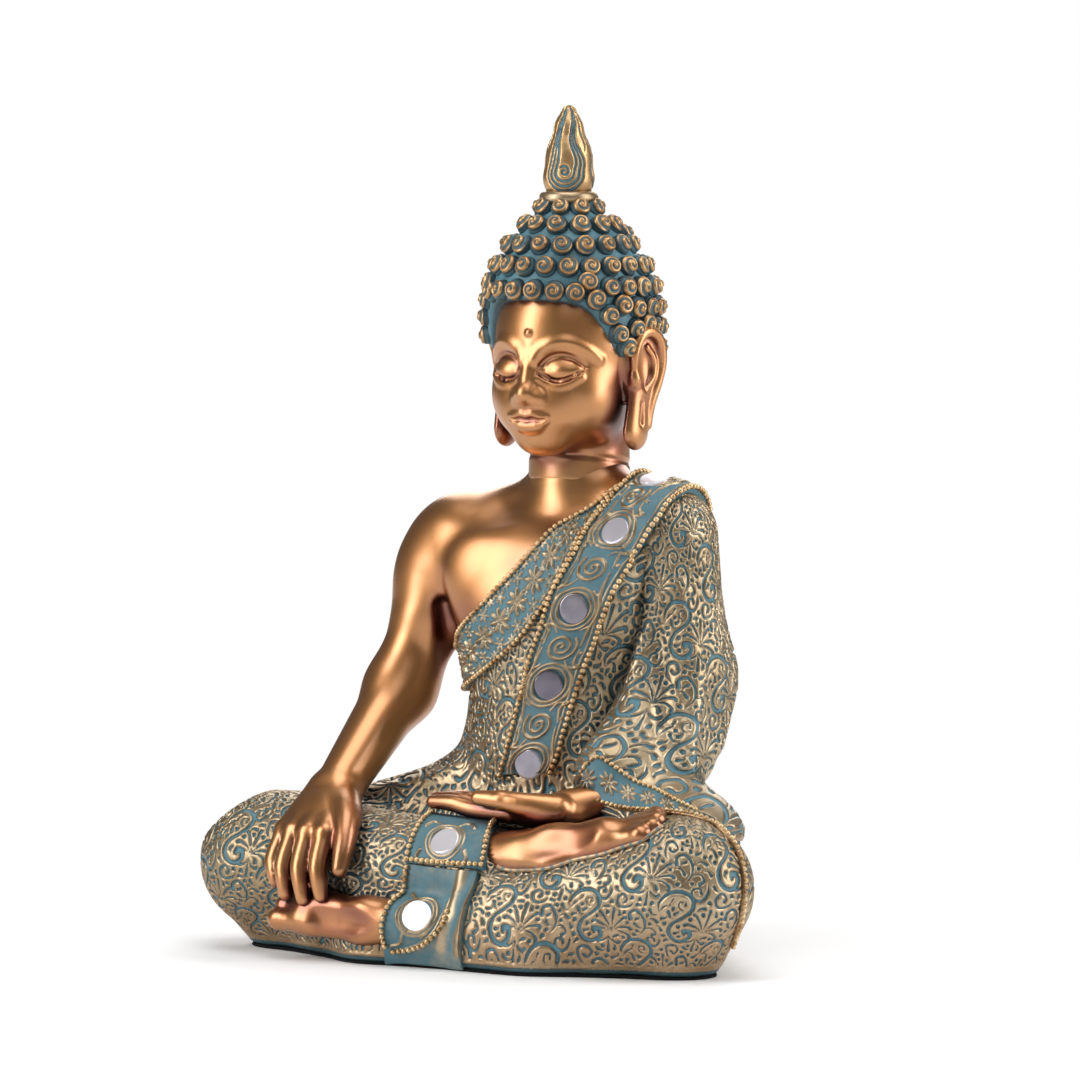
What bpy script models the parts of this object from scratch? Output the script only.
"""Seated figure with a robe, a hair cap and a flame finial, on a flat base.

Frame: metres, +Z up, the figure faces -Y and its left hand is on +X.
The origin is the middle of the base, on the underside of the felt pad.
Each visible zone of the casting is its own closed solid; neighbours keep a small gap.
"""
import math
from collections import namedtuple

import bmesh
import bpy
from mathutils import Euler, Matrix, Vector

# ---------------------------------------------------------------- driving dimensions (mm)
MM = 0.001
SHIFT_Y = 26.0          # moves the torso axis back so that the origin is mid-base
FELT_T = 0.9            # felt pad thickness
BASE_Z = 1.2            # underside of the casting
LAP_SEAT_Z = 38.0       # flat seat where the torso stands in the lap
GAP = 0.40              # clearance between neighbouring solids
TRIM_T = 2.2            # how far the trims stand off the cloth
TRIM_GROW = TRIM_T + GAP
RIGHT_KNEE_X, LEFT_KNEE_X = -84.0, 76.5
LEFT_KNEE_R = 22.0
COLLAR_Z, COLLAR_TOP_Z = 243.2, 249.2
HAIRLINE_Z = 193.5      # height of the hairline plane at the torso axis
HAIRLINE_SLOPE = 0.55   # fall of the hairline per unit towards the back
SPLIT_GAP = 0.6         # height of the gap between the bare shoulder and the robe
BALL_LEVEL = 3          # icosphere subdivisions
DISC_SEGMENTS = 20
SHARP_ANGLE = math.radians(40)
WELD_DIST = 0.002 * MM

MIRROR_R = 5.0          # craft mirror, 10 mm across
MIRROR_T = 1.2
MIRROR_LIFT = 0.1       # disc centre above the trim
MIRROR_FIT = 0.2        # clearance around a mirror

for old_object in list(bpy.data.objects):
    bpy.data.objects.remove(old_object)

# ---------------------------------------------------------------- form tables
# All in mm, in the torso-axis frame. A Ball is an ellipsoid, turned by degrees about X, Y, Z.
# A Rod is a tapered capsule between two stations, each (x, y, z, radius).
Ball = namedtuple("Ball", "centre radii turn", defaults=[(0, 0, 0)])
Rod = namedtuple("Rod", "start end")


def rods(*stations):
    """Capsules joining each station to the next."""
    return [Rod(start, end) for start, end in zip(stations, stations[1:])]


TORSO = [
    Ball((0, -3, 32), (46, 31, 32)),
    Ball((0, -10, 68), (34.5, 25, 38)),
    Ball((0, -8, 108), (39, 26, 32)),
    Rod((-36, -5, 132, 14.5), (36, -5, 133, 15)),
    Rod((0, 1, 136, 19), (0, 1, 152, 17)),
    Rod((-12, 0, 146, 10.5), (-38, -4, 137, 11)),
    Rod((12, 0, 149, 11), (36, -3, 142, 11)),
    Rod((-24, -8, 52, 18), (-54, -25, 34, 16)),
    Rod((24, -8, 56, 18), (50, -24, 34, 15)),
]
TORSO_HOLLOW = [Rod((0, -9, 30, 15), (0, -8, 106, 13))]

# stations around the foot of the lap, which the felt pad follows
KNEE_RIGHT, KNEE_LEFT = (-80, -52, 10, 13), (74, -56, 10, 14)
FRONT_RIGHT, FRONT_LEFT = (-30, -69, 7, 14.5), (30, -69, 7, 14.5)
BACK_RIGHT, BACK_LEFT = (-26, 6, 12, 17), (26, 6, 12, 17)
LAP = [
    Ball((0, -30, 18), (64, 44, 29)),
    Rod((-28, -8, 28, 27.5), (RIGHT_KNEE_X, -54, 28, 21.4)),
    Rod((28, -8, 28, 27.5), (LEFT_KNEE_X, -56, 28.5, LEFT_KNEE_R)),
    Rod((-85, -56, 28.5, 22.2), (6, -62, 28, 17.5)),
    Rod((LEFT_KNEE_X - 1, -58, 27.5, LEFT_KNEE_R), (16, -68, 14.5, 17.5)),
    Ball((0, -4, 26), (47, 31, 34)),
    Rod(KNEE_RIGHT, FRONT_RIGHT),
    Rod(KNEE_LEFT, FRONT_LEFT),
    Rod(FRONT_RIGHT, FRONT_LEFT),
    Rod(KNEE_RIGHT, BACK_RIGHT),
    Rod(KNEE_LEFT, BACK_LEFT),
    Rod(BACK_RIGHT, BACK_LEFT),
    Rod((-50, -42, 8, 14), (50, -42, 8, 14)),
]
LAP_HOLLOW = [
    Ball((0, -28, 6), (48, 30, 24)),
    Rod((-30, -24, 8, 12), (-68, -46, 8, 9)),
    Rod((30, -24, 8, 12), (62, -48, 8, 9)),
]
# felt discs: (station above the disc, disc radius)
FELT_DISCS = [(KNEE_RIGHT, 8), (KNEE_LEFT, 9), (FRONT_RIGHT, 11.5), (FRONT_LEFT, 11.5),
              (BACK_RIGHT, 10), (BACK_LEFT, 10)]

SLEEVE = [
    *rods((38, -4, 136, 16.9), (43, -4, 92, 15.4), (40, -10, 66, 14)),
    Rod((40, -8, 80, 14.4), (34, -42, 60, 11.6)),
    Rod((45, -12, 64, 11.6), (60, -34, 46, 9.6)),
    Rod((36, -30, 60, 12), (48, -30, 54, 12)),
]
# right arm, then the thumb
ARM = [
    *rods((-42, -6, 132, 15.3), (-49, -12, 110, 12.3), (-56.5, -21, 83, 11.4),
          (-55.5, -58, 54, 8.4)),
    *rods((-52, -64, 50, 6.3), (-40, -76, 44, 4.2), (-37, -82, 37, 3.5), (-36.5, -85, 30, 2.9)),
]
# fingers of the right hand: (knuckle, joint, tip)
RIGHT_FINGERS = [
    ((-64.5, -75, 40.5), (-65.2, -80, 32), (-62.9, -82.5, 25.4)),
    ((-58.8, -78, 41), (-58.8, -83.5, 32), (-57.1, -85.5, 22)),
    ((-52, -80, 41), (-51.2, -85, 32), (-48.8, -87, 20.5)),
    ((-45.5, -80, 41), (-44.5, -85, 32), (-42.9, -86.5, 22)),
]
PALM_SPREAD = 0.35      # spread of the finger roots at the wrist, relative to the knuckles
for knuckle, joint, tip in RIGHT_FINGERS:
    root_x = -56 + (knuckle[0] + 55) * PALM_SPREAD
    ARM += [
        Rod((root_x, -60, 52, 7.0), (*knuckle, 4.6)),
        Rod((*knuckle, 3.9), (*joint, 3.5)),
        Rod((*joint, 3.4), (*tip, 2.9)),
    ]

# wrist, palm and thumb
LEFT_HAND = [
    Rod((42, -47, 54, 8.2), (30, -51, 51, 7.8)),
    Ball((22, -53, 49.5), (15.5, 11.5, 6.6)),
    *rods((30, -58, 50, 6.0), (20, -63.5, 52, 4.6), (3.5, -65.5, 54, 3.4)),
]
# fingers of the left hand: tip x, middle y, tip z
LEFT_FINGERS = [(-16.5, -60, 51.5), (-18.5, -55, 52), (-17, -50, 52), (-12, -45.5, 51.5)]
for x, y, z in LEFT_FINGERS:
    LEFT_HAND += rods((13, y + 0.5, 49, 4.0), (-2, y, 50, 3.6), (x, y - 0.5, z, 2.8))

RIGHT_FOOT = [
    *rods((22, -67, 35, 9.8), (36, -66, 38, 9.4), (52, -61, 41, 8.0)),
    *rods((50, -62, 41, 6.5), (62, -58.5, 44, 4.8), (67.5, -56.5, 45, 4.0)),
    Rod((52, -57, 42, 5.5), (65, -52, 44.5, 3.8)),
    Rod((52, -54, 42, 5.0), (62, -48, 43.5, 3.5)),
]
LEFT_FOOT = [
    *rods((-4, -78, 14, 8.4), (-30, -82, 14, 7.9), (-50, -83.5, 13.5, 6.7)),
    Rod((-48, -84, 13.5, 6.0), (-59, -84, 13.5, 4.3)),
    Rod((-58, -84, 13.5, 4.2), (-61.5, -84, 14, 3.8)),
    Rod((-48, -81, 18, 4.5), (-59, -79, 19, 3.3)),
    Rod((-46, -78, 20, 4.1), (-56, -75, 21, 3.1)),
]
# skull, jaw, neck and nose, then the ears
HEAD = [
    Ball((0, -3, 200), (25, 27.5, 31.5)),
    Ball((0, -13, 182), (18.6, 16.6, 18.4)),
    Rod((0, 2, 146, 17.2), (0, 1, 178, 16.8)),
    Rod((0, -28, 193, 3.0), (0, -30.5, 183, 4.0)),
]
for side in (-1, 1):
    HEAD += [
        Ball((side * 25, 0, 194), (3.0, 7, 10), (0, 0, side * 18)),
        Ball((side * 25.3, -1.5, 181), (3.2, 4.8, 10.5)),
        Ball((side * 25, -2, 171.5), (3.5, 6.1, 8)),
    ]
HAIR = [
    Ball((-1.5, -0.5, 203), (30.8, 31.8, 30)),
    Ball((-1.2, -2, 218), (27.2, 27.5, 22)),
    Rod((-0.6, -3.8, 228, 19.2), (-0.6, -3.8, 240, 11.8)),
]
FLAME = [
    Rod((-0.5, -4, 252.5, 8.7), (-0.8, -4, 261, 7.3)),
    Rod((-0.8, -4, 261, 7.2), (-0.6, -4, 270, 4.4)),
    Rod((-0.6, -4, 270, 4.3), (-0.2, -4, 275.4, 2.1)),
]
FLAME_PEG = [Rod((-0.5, -4, 238, 4.0), (-0.5, -4, 252, 4.0))]
COLLAR = [Rod((-0.5, -4, 241, 8.9), (-0.5, -4, 245.5, 8.9))]

# outlines of the trims in the XZ plane, as (x, z)
BORDER_FRONT = [
    (28, 156), (17.3, 147), (7, 137), (-3.4, 125), (-16, 113), (-30, 101.5), (-44, 91), (-48, 76),
    (-36, 81), (-23, 88), (-10, 96), (0, 104), (7, 113), (12, 122), (18, 132), (25, 142), (36, 156),
]
BAND_FRONT = [
    (24.5, 158), (19, 144), (15.2, 133), (11, 117), (5, 97), (-2, 77), (-8.6, 57),
    (14.2, 57), (18.5, 74), (23, 93), (29, 112), (34, 127), (40, 139), (43.5, 158),
]
BAND_BACK = [
    (24.5, 158), (22, 140), (18, 118), (14, 96), (10, 74),
    (29, 74), (33, 96), (37, 118), (41, 140), (43.5, 158),
]
SASH_UPPER = [(-17, 52), (9, 50), (14, 31.5), (-15, 33)]
SASH_LOWER = [(-13.5, 32.6), (12, 30.6), (10, -4), (-20.5, -4)]

# mirrors 1 to 10: x, z (y for the top one), the side it is placed from, the trim it sits in
FRONT, TOP, BACK = -1, 0, 1
MIRRORS = [
    (34.8, -5.0, TOP, "shoulder_band"),
    (29.2, 138.5, FRONT, "shoulder_band"),
    (19.7, 114.0, FRONT, "shoulder_band"),
    (10.1, 88.7, FRONT, "shoulder_band"),
    (3.9, 62.7, FRONT, "shoulder_band"),
    (-2.1, 41.7, FRONT, "sash_upper"),
    (-5.5, 18.2, FRONT, "sash_lower"),
    (31.5, 131.0, BACK, "shoulder_band"),
    (27.0, 108.0, BACK, "shoulder_band"),
    (22.5, 86.0, BACK, "shoulder_band"),
]
# offsets from a mirror's centre where the surface normal is sampled, the centre first
NORMAL_SAMPLES = [(0, 0), (3, 0), (-3, 0), (0, 3), (0, -3), (2, 2), (-2, -2), (2, -2), (-2, 2)]

# ---------------------------------------------------------------- materials
# base colour, roughness, metallic
MATERIALS = {
    "skin": ((0.46, 0.25, 0.10), 0.34, 0.9),
    "cloth": ((0.30, 0.31, 0.20), 0.48, 0.6),
    "trim": ((0.34, 0.30, 0.17), 0.46, 0.6),
    "hair": ((0.10, 0.22, 0.24), 0.55, 0.3),
    "mirror": ((0.82, 0.83, 0.85), 0.06, 1.0),
    "felt": ((0.02, 0.02, 0.02), 0.95, 0.0),
}


def material(name, kind):
    colour, roughness, metallic = MATERIALS[kind]
    result = bpy.data.materials.new(name)
    result.use_nodes = True
    inputs = result.node_tree.nodes["Principled BSDF"].inputs
    inputs["Base Color"].default_value = (*colour, 1.0)
    inputs["Roughness"].default_value = roughness
    inputs["Metallic"].default_value = metallic
    return result


# ---------------------------------------------------------------- building forms
def place(point):
    """A point in mm about the torso axis, as metres about the origin."""
    return Vector((point[0] * MM, (point[1] + SHIFT_Y) * MM, point[2] * MM))


def add_ball(shell, centre, radii, turn=(0, 0, 0)):
    rotation = Euler([math.radians(angle) for angle in turn]).to_matrix().to_4x4()
    scale = Matrix.Diagonal((*(radius * MM for radius in radii), 1.0))
    bmesh.ops.create_icosphere(shell, subdivisions=BALL_LEVEL, radius=1.0,
                               matrix=Matrix.Translation(place(centre)) @ rotation @ scale)


def wrap(shell):
    """Wrap a convex hull around the points and delete those it leaves inside."""
    hull = bmesh.ops.convex_hull(shell, input=shell.verts)
    inside = {item for item in hull["geom_interior"] + hull["geom_unused"]
              if isinstance(item, bmesh.types.BMVert)}
    bmesh.ops.delete(shell, geom=list(inside), context="VERTS")


def add_rod(shell, rod, grow):
    part = bmesh.new()
    for *centre, radius in rod:
        add_ball(part, centre, [radius + grow] * 3)
    wrap(part)
    mesh = bpy.data.meshes.new("hull")
    part.to_mesh(mesh)
    part.free()
    shell.from_mesh(mesh)
    bpy.data.meshes.remove(mesh)


def to_object(name, shell):
    mesh = bpy.data.meshes.new(name)
    shell.to_mesh(mesh)
    shell.free()
    solid = bpy.data.objects.new(name, mesh)
    bpy.context.scene.collection.objects.link(solid)
    return solid


def bake(solid):
    """Replace an object's mesh with its evaluated one and drop its modifiers."""
    bpy.context.view_layer.update()
    depsgraph = bpy.context.evaluated_depsgraph_get()
    mesh = bpy.data.meshes.new_from_object(solid.evaluated_get(depsgraph), depsgraph=depsgraph)
    old = solid.data
    solid.modifiers.clear()
    solid.data = mesh
    bpy.data.meshes.remove(old)


def in_order(solid):
    """Triangulate a skin and sort its points and faces, so that thinning it is repeatable."""
    old = solid.data
    shell = bmesh.new()
    shell.from_mesh(old)
    bmesh.ops.triangulate(shell, faces=shell.faces)
    verts = sorted(shell.verts,
                   key=lambda v: (round(v.co.z, 7), round(v.co.y, 7), round(v.co.x, 7)))
    rank = {vert: i for i, vert in enumerate(verts)}
    faces = []
    for face in shell.faces:
        ids = [rank[vert] for vert in face.verts]
        first = ids.index(min(ids))
        faces.append(tuple(ids[first:] + ids[:first]))
    faces.sort()
    mesh = bpy.data.meshes.new(old.name)
    mesh.from_pydata([vert.co.copy() for vert in verts], [], faces)
    shell.free()
    solid.data = mesh
    bpy.data.meshes.remove(old)


def form(name, parts, voxel, smooth, tris, grow=0.0):
    """One closed skin around overlapping balls and rods, thinned to about `tris` faces."""
    shell = bmesh.new()
    for part in parts:
        if isinstance(part, Ball):
            add_ball(shell, part.centre, [radius + grow for radius in part.radii], part.turn)
        else:
            add_rod(shell, part, grow)
    solid = to_object(name, shell)
    skin = solid.modifiers.new("skin", "REMESH")
    skin.mode = "VOXEL"
    skin.voxel_size = voxel * MM
    if smooth:
        fair = solid.modifiers.new("fair", "SMOOTH")
        fair.factor = 0.5
        fair.iterations = smooth
    bake(solid)
    in_order(solid)
    count = len(solid.data.polygons)
    if count > tris:
        thin = solid.modifiers.new("thin", "DECIMATE")
        thin.ratio = tris / count
        bake(solid)
    return solid


def block(name, half_width, z_low, z_high):
    """A box, square in plan about the torso axis."""
    low = place((-half_width, -half_width, z_low))
    high = place((half_width, half_width, z_high))
    shell = bmesh.new()
    matrix = Matrix.Translation((low + high) / 2) @ Matrix.Diagonal((*(high - low), 1.0))
    bmesh.ops.create_cube(shell, size=1.0, matrix=matrix)
    return to_object(name, shell)


def prism(name, outline, y_start, y_end):
    """An outline drawn in the XZ plane, extruded along Y."""
    shell = bmesh.new()
    face = shell.faces.new([shell.verts.new(place((x, y_start, z))) for x, z in outline])
    extruded = bmesh.ops.extrude_face_region(shell, geom=[face])
    for item in extruded["geom"]:
        if isinstance(item, bmesh.types.BMVert):
            item.co.y = (y_end + SHIFT_Y) * MM
    bmesh.ops.triangulate(shell, faces=shell.faces)
    bmesh.ops.recalc_face_normals(shell, faces=shell.faces)
    return to_object(name, shell)


# ---------------------------------------------------------------- cutting solids
def drop(*solids):
    for solid in solids:
        bpy.data.objects.remove(solid)


def copy_of(solid, name, offset=0.0):
    """A copy of a solid, grown by an offset in mm."""
    copy = bpy.data.objects.new(name, solid.data.copy())
    bpy.context.scene.collection.objects.link(copy)
    if offset:
        grow = copy.modifiers.new("grow", "DISPLACE")
        grow.mid_level = 0.0
        grow.strength = offset * MM
        grow.direction = "NORMAL"
        bake(copy)
    return copy


def boolean(solid, cutter, operation="DIFFERENCE"):
    cut = solid.modifiers.new("cut", "BOOLEAN")
    cut.operation = operation
    cut.solver = "EXACT"
    cut.object = cutter
    bake(solid)


def linked_faces(shell):
    """The faces of each connected shell."""
    seen, groups = set(), []
    for face in shell.faces:
        if face in seen:
            continue
        stack, group = [face], []
        seen.add(face)
        while stack:
            current = stack.pop()
            group.append(current)
            for edge in current.edges:
                for neighbour in edge.link_faces:
                    if neighbour not in seen:
                        seen.add(neighbour)
                        stack.append(neighbour)
        groups.append(group)
    return groups


def tidy(solid):
    """Weld slivers and keep only the shell with the most faces."""
    shell = bmesh.new()
    shell.from_mesh(solid.data)
    bmesh.ops.remove_doubles(shell, verts=shell.verts, dist=WELD_DIST)
    bmesh.ops.dissolve_degenerate(shell, edges=shell.edges, dist=WELD_DIST)
    bmesh.ops.triangulate(shell, faces=shell.faces)
    groups = sorted(linked_faces(shell), key=len, reverse=True)
    extra = [face for group in groups[1:] for face in group]
    if extra:
        bmesh.ops.delete(shell, geom=extra, context="FACES")
        loose = [vert for vert in shell.verts if not vert.link_faces]
        bmesh.ops.delete(shell, geom=loose, context="VERTS")
    shell.to_mesh(solid.data)
    shell.free()


def cut_by(solid, *others, offset=GAP):
    """Cut clearance for other solids."""
    for other in others:
        cutter = copy_of(other, "c_" + other.name, offset)
        boolean(solid, cutter)
        drop(cutter)
    tidy(solid)


def keep(solid, region):
    boolean(solid, region, "INTERSECT")
    tidy(solid)


def crop(solid, half_width, z_low, z_high):
    """Keep what lies between two heights."""
    region = block("region", half_width, z_low, z_high)
    keep(solid, region)
    drop(region)


def cut_out(source, name, outline, y_start, y_end):
    """The part of a solid that lies within an outline, as a new solid."""
    piece = copy_of(source, name)
    strip = prism("strip", outline, y_start, y_end)
    keep(piece, strip)
    drop(strip)
    return piece


def hollow_out(solid, parts, smooth, tris):
    hollow = form("hollow", parts, voxel=2.0, smooth=smooth, tris=tris)
    boolean(solid, hollow)
    drop(hollow)


# ---------------------------------------------------------------- head group
flame_finial = form("flame_finial", FLAME, voxel=0.8, smooth=2, tris=260)
crop(flame_finial, 30, COLLAR_TOP_Z + GAP, 300)
peg = form("peg", FLAME_PEG, voxel=0.8, smooth=0, tris=90)
boolean(flame_finial, peg, "UNION")
tidy(flame_finial)
drop(peg)

finial_collar = form("finial_collar", COLLAR, voxel=0.9, smooth=1, tris=160)
crop(finial_collar, 30, COLLAR_Z, COLLAR_TOP_Z)
cut_by(finial_collar, flame_finial)

head = form("head", HEAD, voxel=1.3, smooth=3, tris=1150)

# the block below the hairline is tilted about the torso axis, down towards the back
hair_cap = form("hair_cap", HAIR, voxel=1.6, smooth=3, tris=620)
hairline = block("hairline", 60, -60, 0)
hairline.data.transform(Matrix.Translation((0, -SHIFT_Y * MM, 0)))
hairline.data.transform(Matrix.Translation((0, SHIFT_Y * MM, HAIRLINE_Z * MM))
                        @ Matrix.Rotation(-math.atan(HAIRLINE_SLOPE), 4, "X"))
boolean(hair_cap, hairline)
drop(hairline)
cut_by(hair_cap, head, finial_collar, flame_finial)

# ---------------------------------------------------------------- body forms
torso = form("torso", TORSO, voxel=1.8, smooth=5, tris=760)
crop(torso, 90, LAP_SEAT_Z, 200)
right_arm = form("right_arm", ARM, voxel=1.1, smooth=2, tris=1150)
robe_sleeve = form("robe_sleeve", SLEEVE, voxel=1.6, smooth=4, tris=420)
left_hand = form("left_hand", LEFT_HAND, voxel=1.0, smooth=2, tris=560)
right_foot = form("right_foot", RIGHT_FOOT, voxel=1.1, smooth=2, tris=280)
left_foot = form("left_foot", LEFT_FOOT, voxel=1.1, smooth=2, tris=280)
lap_legs = form("lap_legs", LAP, voxel=1.8, smooth=5, tris=950)
for solid in (lap_legs, left_foot):
    crop(solid, 140, BASE_Z, 200)

# ---------------------------------------------------------------- bust and robe
# they meet along a slanting line from the left shoulder to the right flank, as (x, z)
SPLIT_SHOULDER, SPLIT_FLANK = (24.0, 143.0), (-40.0, 88.0)
SPLIT_SLOPE = ((SPLIT_SHOULDER[1] - SPLIT_FLANK[1])
               / (SPLIT_SHOULDER[0] - SPLIT_FLANK[0]))


def split_point(x, rise):
    """A point on the split line, raised by part of the gap."""
    return x, SPLIT_SHOULDER[1] + SPLIT_SLOPE * (x - SPLIT_SHOULDER[0]) + rise


rise = SPLIT_GAP / 2
above = [split_point(-90, rise), split_point(60, rise), (60, 260), (-90, 260)]
below = [split_point(-90, -rise), (-90, 0), (90, 0), split_point(90, -rise)]
bust = cut_out(torso, "bust", above, -90, 90)
robe_torso = cut_out(torso, "robe_torso", below, -90, 90)
for solid in (bust, robe_torso):
    cut_by(solid, head, right_arm, robe_sleeve)
hollow_out(robe_torso, TORSO_HOLLOW, smooth=0, tris=160)

# ---------------------------------------------------------------- hands, feet and lap
cut_by(robe_sleeve, left_hand)
cut_by(right_foot, left_hand, robe_sleeve)
cut_by(left_foot, right_arm)
cut_by(robe_torso, left_hand)
lap_full = copy_of(lap_legs, "lap_full")
cut_by(lap_legs, robe_torso, robe_sleeve, right_arm, left_hand, right_foot, left_foot)
hollow_out(lap_legs, LAP_HOLLOW, smooth=3, tris=220)

# ---------------------------------------------------------------- shoulder band, chest border
band_form = form("band_form", TORSO + SLEEVE, voxel=1.5, smooth=5, tris=1500, grow=TRIM_GROW)
band_region = prism("front", BAND_FRONT, -90, 0.2)
back = prism("back", BAND_BACK, 0.0, 90)
boolean(band_region, back, "UNION")
shoulder_band = copy_of(band_form, "shoulder_band")
keep(shoulder_band, band_region)
chest_border = cut_out(band_form, "chest_border", BORDER_FRONT, -90, 90)
cut_by(chest_border, band_region)
drop(band_region, back, band_form)
cut_by(shoulder_band, torso, robe_sleeve, head)
cut_by(chest_border, torso, robe_sleeve, right_arm, head)

# ---------------------------------------------------------------- sash over the lap
sash_form = form("sash_form", LAP + LEFT_FOOT, voxel=1.5, smooth=3, tris=1500, grow=TRIM_GROW)
sash_upper = cut_out(sash_form, "sash_upper", SASH_UPPER, -120, -58)
sash_lower = cut_out(sash_form, "sash_lower", SASH_LOWER, -120, -60)
crop(sash_lower, 140, BASE_Z, 200)
drop(sash_form)
cut_by(sash_upper, lap_full, left_hand, right_foot, left_foot)
cut_by(sash_lower, lap_full, left_foot, left_hand)


# ---------------------------------------------------------------- mirrors
def surface_point(solid, x, z, side):
    """Point and normal where a ray from one side meets a solid; from the top, z stands for y."""
    if side == TOP:
        start, direction = place((x, z, 250.0)), Vector((0, 0, -1))
    else:
        start, direction = place((x, side * 150.0, z)), Vector((0, -side, 0))
    _, point, normal, _ = solid.ray_cast(start, direction)
    return point, normal


def mirror(name, trim, x, z, side):
    """A disc laid on a trim, square to the mean normal around its centre."""
    samples = [surface_point(trim, x + dx, z + dz, side) for dx, dz in NORMAL_SAMPLES]
    centre = samples[0][0]
    normal = sum((sample[1] for sample in samples), Vector()).normalized()
    matrix = (Matrix.Translation(centre + normal * MIRROR_LIFT * MM)
              @ normal.to_track_quat("Z", "Y").to_matrix().to_4x4())
    shell = bmesh.new()
    bmesh.ops.create_cone(shell, cap_ends=True, segments=DISC_SEGMENTS, radius1=MIRROR_R * MM,
                          radius2=MIRROR_R * MM, depth=MIRROR_T * MM, matrix=matrix)
    return to_object(name, shell)


# each trim that holds mirrors, followed by the solids beneath it
LAYERS = {
    "shoulder_band": (shoulder_band, robe_torso, robe_sleeve, bust),
    "sash_upper": (sash_upper, lap_legs),
    "sash_lower": (sash_lower, left_foot, lap_legs),
}
# all mirrors are placed before any recess is cut
mirrors = [mirror(f"mirror_{i}", LAYERS[trim][0], x, z, side)
           for i, (x, z, side, trim) in enumerate(MIRRORS, 1)]
for disc, (*_, trim) in zip(mirrors, MIRRORS):
    for solid in LAYERS[trim]:
        cut_by(solid, disc, offset=MIRROR_FIT)

# ---------------------------------------------------------------- felt pad
pad = bmesh.new()
for (x, y, *_), radius in FELT_DISCS:
    for z in (0.0, FELT_T):
        for i in range(DISC_SEGMENTS):
            angle = 2 * math.pi * i / DISC_SEGMENTS
            pad.verts.new(place((x + radius * math.cos(angle), y + radius * math.sin(angle), z)))
wrap(pad)
felt_pad = to_object("felt_pad", pad)

# ---------------------------------------------------------------- finish
drop(torso, lap_full)
FINISHES = {
    "hair": [flame_finial, hair_cap],
    "skin": [head, bust, right_arm, left_hand, right_foot, left_foot],
    "cloth": [robe_torso, robe_sleeve, lap_legs],
    "trim": [finial_collar, shoulder_band, chest_border, sash_upper, sash_lower],
    "felt": [felt_pad],
    "mirror": mirrors,
}
for kind, solids in FINISHES.items():
    for solid in solids:
        tidy(solid)
        solid.data.materials.clear()
        solid.data.materials.append(material(solid.name, kind))
        solid.data.shade_smooth()
        solid.data.set_sharp_from_angle(angle=SHARP_ANGLE)
